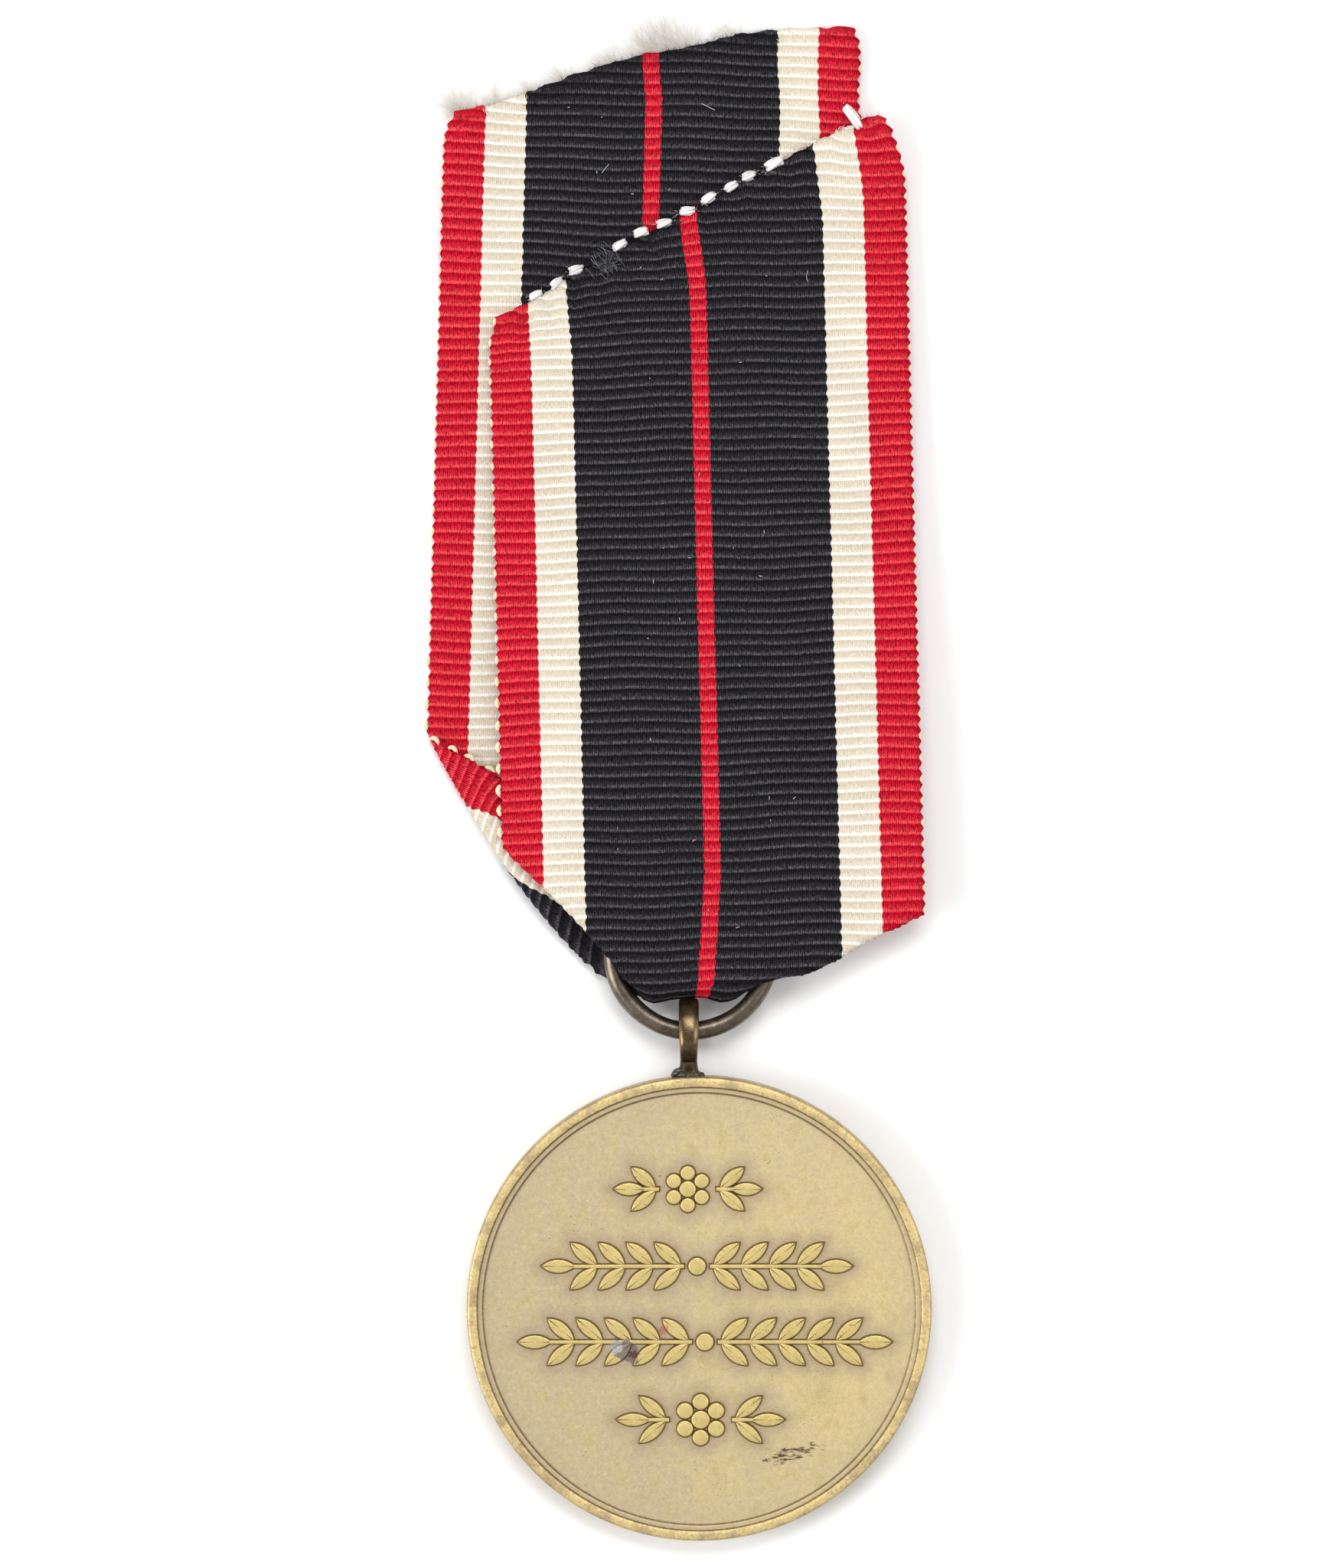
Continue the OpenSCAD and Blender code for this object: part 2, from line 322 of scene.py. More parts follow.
def front_half(u, t):
    """The front half at height t above the turn."""
    x, y = laid(u, t + wander(u, -t), -1)
    # its middle swings left just above the ring
    swing = 0.25 * ease((6 - y) / 4) + 0.35 * ease((3 - y) / 5)
    x = x - swing * ease((9 - np.abs(u)) / 8)
    to_hem = -past_line(np.stack([x, y], -1), HEM)
    x = x - 0.55 * ease((5.5 - to_hem) / 5.5) * ease((u + 15) / 12)
    x = x - round_corner(u, to_hem, np.where(u > 0, 1.5, 0.4), np.where(u > 0, 1.1, 0.5))
    # puckers that the stitches pull in
    near = bell(to_hem / 2.4)
    pucker = u * math.tau / STITCH_PITCH * 0.9
    y = y + 0.04 * (u - 2) * bell(to_hem / 2.8)
    y = y + near * (0.10 * np.sin(pucker + 0.6) + 0.12 * np.sin(u * 1.3 + 2.0))
    xy = np.stack([x, y], -1)
    # the layer rises from its hem towards the ring, and stands up a little at both corners of the hem
    rise = ease((to_hem - 5) / 44) ** 1.3
    z = HEM_Z + (FRONT_Z - HEM_Z) * rise + top_rise(xy)
    z = z + 0.09 * np.sin(x * 0.33 + y * 0.21) * ease(to_hem / 12) * ease((y - 6) / 10)
    z = z + near * 0.07 * np.sin(pucker - 0.4)
    z = z + 0.28 * bell((np.abs(u) - 13.2) / 1.6) * bell((to_hem - 0.8) / 1.6)
    xy, z, left = fold(xy, z, FRONT_LEFT, CREASE_R, 1)
    xy, z, right = fold(xy, z, FRONT_RIGHT, CREASE_R, 1)
    xy, z, _ = fold(xy, z, HEM, HEM_CREASE_R, 1)
    return xy, z, np.maximum(left, right)


def top_rise(xy):
    """How much the hem under the back layer's top lifts what lies over it."""
    return TOP_RISE * ease((14 + past_line(xy, TOP)) / 5)


def back_half(u, t):
    """The back half at height t above the turn."""
    x, y = laid(u, t + wander(u, t), 1)
    x = x + 2.4 * ease((9 - y) / 12)
    x = x - 0.3 * ease((y - 59) / 4) - 0.35 * bell((y - 59.8) / 1.8) * ease((u - 8) / 6.5)
    xy = np.stack([x, y], -1)
    to_top = -past_line(xy, TOP)
    z = BACK_Z + top_rise(xy)
    xy[..., 0] -= round_corner(u, to_top)
    z = z + 0.25 * bell((np.abs(u) - 13.4) / 1.5) * bell((to_top - 0.9) / 1.4)
    z = z + 0.05 * (1 + np.sin(u * 0.9 + 1.2) * np.sin(u * 0.37)) * bell(to_top / 3.0)
    # near the ring the left fold is not pressed flat, but turns over in a wide bend and sinks again behind it
    a, along_fold, _ = line_frame(BACK_LEFT)
    place = (xy - a) @ along_fold
    wide = ease((place - 4.5) / 3.5)
    swell = wide * ease((18 - place) / 3)
    xy[..., 0] -= 0.5 * swell
    xy, z, left = fold(xy, z, BACK_LEFT, CREASE_R + WIDE_BEND * swell, -1)
    z = z - 2 * WIDE_BEND * swell * ease((left - 2.6) / 2.0)
    left = left - 2.2 * wide
    xy, z, right = fold(xy, z, BACK_RIGHT, CREASE_R, -1)
    xy, z, _ = fold(xy, z, TOP, TOP_RISE / 2, 1)
    return xy, z, np.maximum(left, right)


def ribbon_point(u, v):
    """Middle of the cloth at (u, v)."""
    u, v = np.asarray(u, float), np.asarray(v, float)
    crossing = curve_at(CROSSING, u)
    t = np.maximum(np.abs(v) - TURN_ARC, 0)
    turn = np.clip(1 - np.abs(v) / TURN_ARC, 0, 1) * math.pi / 2
    result = []
    for half, left_u, left_rate, right_u, right_rate in (
        (front_half, -5.6, 1.14, 5.4, 0.62),
        (back_half, -4.6, 1.66, 6.5, 0.75),
    ):
        xy, z, past = half(u, t)
        xy0 = half(u, np.zeros_like(t))[0]
        # the tucked sides leave their flat fold and gather towards the ring
        reach = 0.8 + 0.75 * np.where(u < left_u, (left_u - u) * left_rate, 0)
        reach = reach + 0.8 * np.where(u > right_u, (u - right_u) * right_rate, 0)
        tucked = ease(past / 2.4)
        pull = (1 - ease(t / reach)) * tucked
        xy = xy + (crossing - xy0) * (pull * 0.8)[..., None]
        xy = xy + (crossing - xy) * np.sin(turn)[..., None]
        z = z + (ring_z - z) * (1 - np.cos(turn))
        result.append(np.concatenate([xy, z[..., None]], -1))
    front, back = result
    return np.where((v < 0)[..., None], front, back)


def column_places():
    """Places across the strip: close together near the edges, where it folds."""
    side = np.linspace(0, 9.2, 23)
    middle = np.linspace(9.2, WIDTH - 9.2, 16)[1:-1]
    return np.concatenate([side, middle, WIDTH - side[::-1]]) - HALF_W


def row_places():
    """Places along the strip: more of them where it is folded."""
    v = np.arange(-FRONT_RIBS * 8, BACK_RIBS * 8 + 1)
    place = v * RIB / 8
    folded = (np.abs(place) < 3.5) | ((place < -48) & (place > -65)) | (place > 62)
    return place[folded | (v % 2 == 0)]


def rib_height(v):
    """Height of the rib's rounded top above the cloth's middle thickness."""
    return RIB_H * (2 * np.abs(np.sin(math.pi * v / RIB)) ** 0.7 - 1)


def edge_scallop(u, v):
    """The strip's edges swell at each rib."""
    near = ease((np.abs(u) - HALF_W + 0.8) / 0.8)
    return -np.sign(u) * near * 0.10 * np.cos(math.tau * v / RIB)


def build_ribbon(material):
    v_line = row_places()
    u, v = np.meshgrid(column_places(), v_line)
    middle = ribbon_point(u + edge_scallop(u, v), v)
    inward = unit(np.cross(np.gradient(middle, axis=1), np.gradient(middle, v_line, axis=0)))
    edge_round = 1 - 0.45 * ease((np.abs(u) - HALF_W + 0.5) / 0.5)
    half_t = (CLOTH_T / 2 * edge_round + rib_height(v))[..., None]
    verts = np.concatenate([middle - inward * half_t, middle + inward * half_t]).reshape(-1, 3)
    uv = np.tile(np.stack([u, v], -1).reshape(-1, 2), (2, 1))
    # only whole quads between the two cuts are kept
    kept = (v >= np.interp(u, *FRONT_CUT) - 0.01) & (v <= np.interp(u, *BACK_CUT) + 0.01)
    index = np.arange(u.size).reshape(u.shape)
    solid = kept[:-1, :-1] & kept[1:, 1:] & kept[1:, :-1] & kept[:-1, 1:]
    a, b = index[:-1, :-1][solid], index[:-1, 1:][solid]
    c, d = index[1:, 1:][solid], index[1:, :-1][solid]
    top = np.stack([a, b, c, d], -1).tolist()
    under = (np.stack([d, c, b, a], -1) + u.size).tolist()
    # an edge that only one quad of the top has is the strip's border, where a side joins both skins
    border = {}
    for f in top:
        for p, q in zip(f, f[1:] + f[:1]):
            if border.pop((q, p), None) is None:
                border[(p, q)] = True
    sides = [(q, p, p + u.size, q + u.size) for p, q in border]
    used, faces = np.unique(np.array(top + under + sides), return_inverse=True)
    thing = to_object("woven_ribbon", verts[used], faces.reshape(-1, 4), material)
    layer = thing.data.uv_layers.new(name="strip")
    loops = np.zeros(len(thing.data.loops), np.int32)
    thing.data.loops.foreach_get("vertex_index", loops)
    layer.data.foreach_set("uv", uv[used][loops].astype(np.float32).ravel())
    return thing


def build_selvedge_loops(material):
    """The weft thread shows as a small pale loop at every second rib, where it turns back at the edge."""
    rng = np.random.default_rng(11)
    pile = Pile()
    s = np.linspace(0, 1, 9)
    hump = np.sin(math.pi * s)
    for k in range(-80, BACK_RIBS - 2, 2):
        for side in (-1, 1):
            if side < 0 and k < -66:
                continue
            slack = 0.3 + 0.7 * ease((42 - abs(k)) / 20) if side < 0 else 0.12
            slack = slack * rng.uniform(0.85, 1.15)
            u = side * (HALF_W - 0.06 + (0.06 + 0.2 * slack) * hump)
            v = (k + (k < 0) + rng.uniform(-0.08, 0.08) + (s - 0.5) * (0.85 + 0.35 * slack)) * RIB
            middle = ribbon_point(u, v)
            du = ribbon_point(u + 0.05, v) - middle
            dv = ribbon_point(u, v + 0.05) - middle
            radius = (0.09 + 0.08 * slack) * (0.45 + 0.55 * hump)
            tube(pile, middle - 0.02 * unit(np.cross(du, dv)), radius, sides=8)
    return pile.finish("selvedge_loops", material)


# ---- Threads ----


def thread_bundle(pile, rng, path, radius, strands=9, fuzz=6, fuzz_len=0.35):
    """A short thread of twisted strands with loose fibres standing off it."""
    rows = len(path)
    ahead = unit(np.gradient(path, axis=0))
    side = unit(np.cross(ahead, [0.0, 0.0, 1.0]))
    lift = np.cross(side, ahead)
    s = np.linspace(0, 1, rows)
    swell = 0.8 + 0.2 * np.sin(math.pi * s) ** 0.6
    for k in range(strands):
        spread = radius * (0.62 if k % 3 else 0.25)
        angle = math.tau * k / strands + s * rng.uniform(0.5, 1.1) + rng.uniform(-0.3, 0.3)
        offset = spread * swell[:, None] * (np.cos(angle)[:, None] * side + np.sin(angle)[:, None] * lift)
        slide = ahead * rng.uniform(-0.1, 0.1)
        tube(pile, path + offset + slide, radius * 0.36 * swell, sides=5, mark=rng.random())
    for _ in range(fuzz):
        i = rng.integers(0, rows)
        angle = rng.uniform(0, math.tau)
        across = math.cos(angle) * side[i] + abs(math.sin(angle)) * lift[i]
        away = unit(across + rng.uniform(-2.2, 2.2) * ahead[i])
        length = rng.uniform(0.4, 1.0) * fuzz_len
        curl = rng.normal(0, 0.3, 3)
        steps = np.linspace(0, 1, 4)[:, None]
        fibre = path[i] + away * radius * 0.7 + length * (away * steps + curl * steps**2)
        fibre[:, 2] = np.maximum(fibre[:, 2], 0.06)
        tube(pile, fibre, np.linspace(0.016, 0.007, 4), sides=3, mark=rng.random())


def hair(start, away, length, curl, steps):
    """Points of a fibre that runs from start in one direction and curls off it, all at one height."""
    level = start[:2] + length * (steps[:, None] * away + steps[:, None] ** 2 * curl)
    return at_height(level, start[2])


def on_line(crease, s, out):
    """The point at s along a fold's outline and out past it."""
    a, along, normal = line_frame(crease)
    return a + along * s + normal * (out + float(outline_at(crease, np.array([s]))[0]))


def build_hem_stitches(material):
    """White stitches along the front hem: one is missing, the last is big, and the thread's end is free."""
    rng = np.random.default_rng(5)
    pile = Pile()
    _, along, normal = line_frame(HEM)
    for i in range(12):
        if i == 3:
            continue
        s = 3.6 + i * STITCH_PITCH - (0.3 if i == 10 else 0) + rng.uniform(-0.07, 0.07)
        middle = on_line(HEM, s, rng.uniform(0.08, 0.24))
        big = i == 11
        turn = rng.normal(0, 0.16)
        ahead = along * math.cos(turn) + normal * math.sin(turn)
        length = (1.25 if big else 0.82) * rng.uniform(0.85, 1.1)
        steps = np.linspace(-0.5, 0.5, 7)
        height = 1.2 + 0.42 * ease((s - 8) / 14) + 0.12 * np.cos(steps * math.pi)
        path = np.column_stack([middle + ahead * (steps * length)[:, None], height])
        thread_bundle(pile, rng, path, 0.44 if big else 0.37, fuzz=40 if big else 14, fuzz_len=0.24)
    steps = np.linspace(0, 1, 9)
    end_x = 11.85 - 1.05 * steps + 0.1 * np.sin(steps * 3)
    end = np.column_stack([end_x, 57.6 + 1.5 * steps, 1.75 + 0.1 * steps])
    thread_bundle(pile, rng, end, 0.38, strands=14, fuzz=16, fuzz_len=0.2)
    return pile.finish("hem_stitches", material)


def build_lint(material):
    """Lint caught in the hem where one stitch is missing, and bits and hairs scattered over the black."""
    rng = np.random.default_rng(8)
    pile = Pile()
    middle = on_line(HEM, 8.7, -0.2)
    for _ in range(34):
        start = np.append(middle + rng.normal(0, 0.5, 2) + [0.25, -0.1], 1.55 + rng.uniform(0, 0.15))
        angle = rng.normal(-0.7, 0.5)
        length = rng.uniform(0.5, 1.1)
        away = np.array([math.cos(angle), math.sin(angle)])
        path = hair(start, away, length, rng.normal(0, 0.25, 2), np.linspace(-0.5, 0.5, 5))
        tube(pile, path, 0.014, sides=3, mark=0.6 * rng.random())
    bits = []
    for count, wide, low, high in ((26, 8.5, -55, -2), (5, 8, 57, 64)):
        for _ in range(count):
            bits.append((rng.uniform(-wide, wide), rng.uniform(low, high), rng.uniform(0.08, 0.3)))
    s = np.linspace(-0.5, 0.5, 6)
    for u, v, length in bits + HAIRS:
        angle = rng.uniform(0, math.pi)
        bend = rng.uniform(-0.8, 0.8) * length
        across = u + length * s * math.cos(angle) - bend * s**2 * math.sin(angle)
        path = ribbon_point(across, v + length * s * math.sin(angle) + bend * s**2 * math.cos(angle))
        tube(pile, path + [0, 0, CLOTH_T / 2 + RIB_H + 0.03], rng.uniform(0.018, 0.03), sides=5, mark=2.0)
    return pile.finish("lint_fibres", material)


# Frayed places behind the top edge: distance along it, width, length, number of fibres
TUFTS = ((1.2, 0.8, 2.1, 150), (3.6, 0.6, 1.3, 100), (6.2, 0.9, 1.4, 100), (8.6, 0.7, 1.4, 90),
         (11.8, 1.1, 1.5, 140), (15.4, 1.2, 3.2, 190), (17.6, 1.4, 2.7, 160), (20.6, 1.1, 1.6, 90))

# The longer hairs on the cloth: place across it, place along it, length
HAIRS = [(7.6, -51.3, 0.8), (-3.3, 59.1, 0.8), (3.8, 63.4, 1.0)]


def build_tufts(material):
    rng = np.random.default_rng(21)
    pile = Pile()
    _, along, normal = line_frame(TOP)
    steps = np.linspace(0, 1, 6)
    for s, wide, tall, count in TUFTS:
        for _ in range(count):
            at = s + rng.normal(0, wide * 0.42)
            start = np.append(on_line(TOP, at, -0.7), 0.14 + rng.uniform(0, 0.14))
            angle = rng.normal(0.5, 0.4)
            away = normal * math.cos(angle) - along * math.sin(angle)
            length = 0.8 + 1.15 * tall * rng.uniform(0.4, 1.0) * math.exp(-0.6 * ((at - s) / wide) ** 2)
            path = hair(start, away, length, 0.6 * rng.normal(0, 0.5, 2), steps)
            path[:, 2] += rng.uniform(0, 0.35) * steps
            tube(pile, path, np.linspace(0.018, 0.007, 6), sides=3, mark=rng.random())
    return pile.finish("frayed_threads", material)


def fold_places(count, low, high, half, crease, rng):
    """Random places (u, v) on the outline of the fold that turns one end of the strip under."""
    u = rng.uniform(-14.4, 14.5, count)
    v = np.linspace(low, high, 400)
    grid_u, grid_v = np.meshgrid(u, v)
    past = past_line(np.stack(laid(grid_u, np.abs(grid_v) - TURN_ARC, half), -1), crease)
    return u, v[np.argmin(np.abs(past), axis=0)]


def build_fold_fuzz(material):
    """Short fibres that stand off the cloth along its two turned edges, each in its stripe's colour."""
    rng = np.random.default_rng(31)
    pile = Pile()
    steps = np.linspace(0, 1, 4)
    for half, low, high, crease in ((-1, -64, -46, HEM), (1, 60, 71, TOP)):
        u, v = fold_places(900, low, high, half, crease, rng)
        _, along, normal = line_frame(crease)
        points = ribbon_point(u, v + half * rng.uniform(-0.9, 0.05, len(v)))
        for start, at in zip(points, u):
            # most of those on the cream are left out
            if 8.85 < abs(at) < 11.8 and rng.random() < 0.6:
                continue
            angle = rng.normal(0, 0.9)
            away = normal * math.cos(angle) + along * math.sin(angle)
            length = rng.uniform(0.15, 0.42)
            path = hair(start, away, length, rng.normal(0, 0.3, 2), steps)
            path[:, 2] += 0.17 + 0.08 * steps * rng.uniform(-1, 1.5)
            tube(pile, path, np.linspace(0.02, 0.009, 4), sides=3, mark=at)
    return pile.finish("fold_fuzz", material, mark="place")


# ---- Medal ----

RIM_W = 0.75
STEP_W = 0.38
FIELD_DEPTH = 0.32
RELIEF_H = 0.24
half_t = DISC_T / 2
field_z = half_t - FIELD_DEPTH
field_r = disc_r - RIM_W - STEP_W

# How far each kind of ornament's even top lies inside its outline, and how much it rises to its middle
MOUNDS = {"stem": (0.05, 0.0), "bead": (0.13, 0.03), "leaf": (0.1, 0.0), "star": (0.12, 0.1)}


def turned(points, angle, shift=(0, 0)):
    """Points turned by an angle in degrees, then moved."""
    c, s = math.cos(math.radians(angle)), math.sin(math.radians(angle))
    return points @ np.array([[c, s], [-s, c]]) + shift


def leaf_shape(length, wide, steps=12):
    """The outline of a pointed leaf from the origin along +X."""
    arc = (length**2 / 4 + wide**2 / 4) / wide
    x = length * (1 - np.cos(np.linspace(0, math.pi, steps + 1))) / 2
    y = wide / 2 - arc + np.sqrt(np.maximum(arc**2 - (x - length / 2) ** 2, 0))
    upper = np.column_stack([x, y])
    return np.concatenate([upper, (upper * [1, -1])[-2:0:-1]])


def round_shape(radius, steps=28, first=0.0):
    """Points round a circle, from the angle first on. radius is one number or one for each point."""
    angle = first + angles(steps)
    return np.column_stack([radius * np.cos(angle), radius * np.sin(angle)])


def spray(pairs, pitch, length, wide, start):
    """A stem along +X from start, with pairs of leaves and a last leaf at its tip."""
    reach = start + pairs * pitch
    leaf = leaf_shape(length, wide)
    shapes = [("stem", np.array([(start, -0.14), (reach, -0.12), (reach, 0.12), (start, 0.14)]))]
    for i in range(pairs):
        for side in (-1, 1):
            shapes.append(("leaf", turned(leaf, side * 40, (start + i * pitch + 0.25, side * 0.1))))
    return shapes + [("leaf", turned(leaf, 0, (reach - 0.2, 0)))]


def on_both_sides(shapes, offset=(0, 0)):
    """The shapes and their mirror images, set at offset."""
    return [(kind, points * [side, 1] + offset) for side in (1, -1) for kind, points in shapes]


def rosette(radius, offset):
    """A flower of one bead and six more round it."""
    shapes = [("bead", round_shape(radius * 0.34) + offset)]
    for spot in round_shape(radius * 0.66, 6, math.pi / 2):
        shapes.append(("bead", round_shape(radius * 0.3) + spot + offset))
    return shapes


def reverse_shapes():
    """Two flowers between small leaves, and two rows of long sprays that meet at a bead."""
    shapes = []
    for radius, pitch, length, offset in ((1.7, 1.2, 2.2, (-0.8, 8.4)), (1.9, 1.5, 2.4, (0.1, -7.75))):
        shapes += rosette(radius, offset)
        shapes += on_both_sides(spray(1, pitch, length, 0.9, radius + 0.3), offset)
    for pairs, pitch, offset in ((4, 1.95, (-0.15, 3)), (5, 2, (0.4, -2.3))):
        shapes.append(("bead", round_shape(0.62) + offset))
        shapes += on_both_sides(spray(pairs, pitch, 2.4, 0.95, 0.9), offset)
    return shapes


def obverse_shapes():
    """An open wreath of leaves round a plain star."""
    leaves = []
    for degrees in range(-78, 67, 12):
        for lift in (-1, 1):
            leaf = turned(leaf_shape(2.5, 0.95), 90 - lift * 24, (11.6 + lift * 0.35, 0))
            leaves.append(("leaf", turned(leaf, degrees)))
    return on_both_sides(leaves) + [("star", round_shape(np.tile([7.0, 2.9], 5), 10, math.pi / 2))]


def outward(points):
    """Corner directions of a closed outline, as long as they must be for an even border."""
    ahead = unit(np.roll(points, -1, 0) - points)
    normal = np.column_stack([ahead[:, 1], -ahead[:, 0]])
    both = normal + np.roll(normal, 1, 0)
    length = np.maximum(np.linalg.norm(both, axis=1, keepdims=True), 1e-6)
    return both / length * np.minimum(2 / length, 1.8)


def mound(pile, kind, points, height):
    """One raised piece of ornament: a sloping border, marked for painted shade with some dirt, round an even
    top.
    """
    area = np.sum(points[:, 0] * np.roll(points[:, 1], -1) - points[:, 1] * np.roll(points[:, 0], -1))
    if area < 0:
        points = points[::-1]
    normal = outward(points)
    n = len(points)
    inset, crown = MOUNDS[kind]
    rings = ((0.10, -0.03, 1.0), (0.06, height * 0.25, 1.0), (0.0, height * 0.8, 0.85),
             (-inset * 0.5, height * 0.97, 0.2), (-inset, height, 0.0))
    verts, marks = [], []
    for out, rise, edge in rings:
        verts += at_height(points + normal * out, field_z + rise).tolist()
        marks += [edge] * n
    centre = np.zeros(2) if kind == "star" else points.mean(0)
    verts.append([*centre, field_z + height + crown])
    marks.append(0.0)
    last = (len(rings) - 1) * n
    faces = grid_faces(len(rings), n)
    faces += [(last + i, last + (i + 1) % n, len(verts) - 1) for i in range(n)]
    pile.add(verts, faces, marks)


def build_relief(name, shapes, under, material):
    """All ornament of one face, at slightly different heights, so that no two tops coincide."""
    pile = Pile()
    for i, (kind, points) in enumerate(shapes):
        mound(pile, kind, points, RELIEF_H - 0.012 * (i % 7) / 7)
    verts, faces = np.array(pile.verts), pile.faces
    if under:
        verts, faces = verts * [1, 1, -1], reversed_faces(faces)
    return to_object(name, verts, faces, material, MEDAL_FRAME, marks={"edge": pile.marks})


def nearness(points, shapes):
    """How close each point of the field is to the ornament, from 0 to 1."""
    corners = [p for _, p in shapes]
    outline = np.concatenate(corners + [(p + np.roll(p, 1, 0)) / 2 for p in corners])
    tree = kdtree.KDTree(len(outline))
    for i, (x, y) in enumerate(outline):
        tree.insert((x, y, 0), i)
    tree.balance()
    return bell(np.array([tree.find((x, y, 0))[2] for x, y in points]) / 0.75)


def disc_profile():
    """Radius, height and line darkness of one face, from the middle out to the side. The line darkness is
    painted shade along its steps and bevels.
    """
    step_z = field_z + FIELD_DEPTH / 2
    rim_in = disc_r - RIM_W
    rows = [(r, field_z, 0.0) for r in np.linspace(0.12, field_r - 0.12, 58)]
    for from_r, from_z, steps in (
        (field_r, field_z, ((-0.05, 0.005, 0.5), (0, 0.02, 1))),
        (field_r, step_z, ((0.06, -0.01, 0.6), (0.12, 0, 0))),
        (rim_in, step_z, ((-0.07, 0, 0.2), (0, 0.01, 1))),
        (rim_in, half_t, ((0.05, -0.03, 0.7), (0.11, 0, 0))),
        (disc_r, half_t, ((-0.4, 0.005, 0), (-0.2, 0, 0), (-0.1, -0.03, 0.2))),
        (disc_r, half_t, ((-0.03, -0.1, 0.4), (0, -0.22, 0.5), (0, -0.6, 0.3))),
    ):
        rows += [(from_r + r, from_z + z, dark) for r, z, dark in steps]
    return rows


def build_disc(material, reverse, obverse):
    face = disc_profile()
    rows = face + [(r, -z, dark) for r, z, dark in face[::-1]]
    segments = 300
    verts = np.concatenate([at_height(round_shape(r, segments), z) for r, z, _ in rows])
    line = np.repeat([dark for _, _, dark in rows], segments)
    near = np.zeros(len(verts))
    for sign, shapes in ((1, reverse), (-1, obverse)):
        inside = (verts[:, 2] * sign > 0) & (np.hypot(verts[:, 0], verts[:, 1]) < field_r - 0.1)
        near[inside] = nearness(verts[inside, :2], shapes)
    faces = reversed_faces(tube_faces(len(rows), segments))
    return to_object("struck_disc", verts, faces, material, MEDAL_FRAME, marks={"line": line, "near": near})


def build_ring(material):
    """The wire ring, with its butted ends under the ribbon."""
    steps = 200
    seam, gap = math.radians(74), 0.006
    angle = np.linspace(seam + gap, seam + math.tau - gap, steps)
    rng = np.random.default_rng(3)
    wobble = ring_r + 0.012 * np.sin(angle * 3 + rng.uniform(0, 6)) + 0.008 * np.sin(angle * 7 + 1)
    ends = np.minimum(angle - angle[0], angle[-1] - angle)
    radius = wire_r - 0.01 + 0.012 * np.sin(angle * 5 + 2) - 0.08 * np.exp(-ends / 0.012)
    pile = Pile()
    path = at_height(np.column_stack([wobble * np.cos(angle), wobble * np.sin(angle)]), ring_z)
    tube(pile, path, radius, sides=24)
    return pile.finish("wire_ring", material)


def boxed(wave, power):
    """A sine or cosine with its curve swollen towards a box's."""
    return np.sign(wave) * np.abs(wave) ** power


# The eye's loop: its middle plane, the middles and radius of its two round ends, and how far its front bows
EYE_X = (eye_low[0] + eye_high[0]) / 2 - disc_mid[0]
EYE_TOP_Y = 19.71
EYE_LOW_Y = 19.11
EYE_MID_R = 1.6
EYE_BOW = 0.22

# The neck, which widens into the foot: place up it, half width, half depth
EYE_NECK = ((16.1, 0.98, 0.85), (16.32, 0.94, 0.84), (16.5, 0.78, 0.8), (16.75, 0.66, 0.82),
            (17.1, 0.61, 0.9), (17.5, 0.59, 0.75), (17.9, 0.4, 0.3))

# Lumps of solder round the foot: X from the eye's middle, Y, Z, radius
SOLDER_LUMPS = (
    (-0.78, 16.42, 0.25, 0.36), (-0.62, 16.6, 0.35, 0.28), (-0.92, 16.3, 0.1, 0.28),
    (-0.45, 16.36, 0.6, 0.26), (0.1, 16.32, 0.66, 0.25), (0.5, 16.34, 0.55, 0.22),
    (0.82, 16.3, 0.2, 0.24), (-0.6, 16.35, -0.45, 0.3), (0.5, 16.33, -0.5, 0.3),
    (0.0, 16.33, -0.7, 0.26), (0.75, 16.28, -0.2, 0.26),
)


def build_eye(material):
    """A loop of half-round bar standing on the disc's edge."""
    steps, sides = 96, 28
    arc = angles(steps)
    blend = ease(np.sin(arc) * 1.5 + 0.5)
    y = np.sin(arc) * EYE_MID_R + EYE_LOW_Y + (EYE_TOP_Y - EYE_LOW_Y) * blend
    # the front bows out low down, so that it slopes gently back towards the top
    bow = ease((y - 17.5) / 0.9) * ease((20.7 - y) / 2.3) * ease(np.cos(arc) * 1.6)
    path = np.column_stack([np.full(steps, EYE_X), y, np.cos(arc) * EYE_MID_R + EYE_BOW * bow])
    across = np.array([1.0, 0.0, 0.0])
    out = np.cross(across, unit(np.roll(path, -1, 0) - np.roll(path, 1, 0)))
    section = angles(sides)
    c, s = np.cos(section)[:, None], np.sin(section)[:, None]
    thick = boxed(s, np.where(s < 0, 0.8, 0.55)) * 0.43
    wide = boxed(c, 0.8)
    half_w = 0.6 + 0.1 * ease((y - 17.4) / 2.8)
    verts = np.concatenate([path[i] + half_w[i] * wide * across + thick * out[i] for i in range(steps)])
    pile = Pile()
    pile.add(verts, grid_faces(steps, sides, wrap_rows=True))
    neck = [np.column_stack([EYE_X + half_x * boxed(c, 0.7), np.full(sides, at), half_z * boxed(s, 0.7)])
            for at, half_x, half_z in EYE_NECK]
    pile.add(np.concatenate(neck), reversed_faces(tube_faces(len(neck), sides)))
    return pile.finish("bronze_eye", material, MEDAL_FRAME)


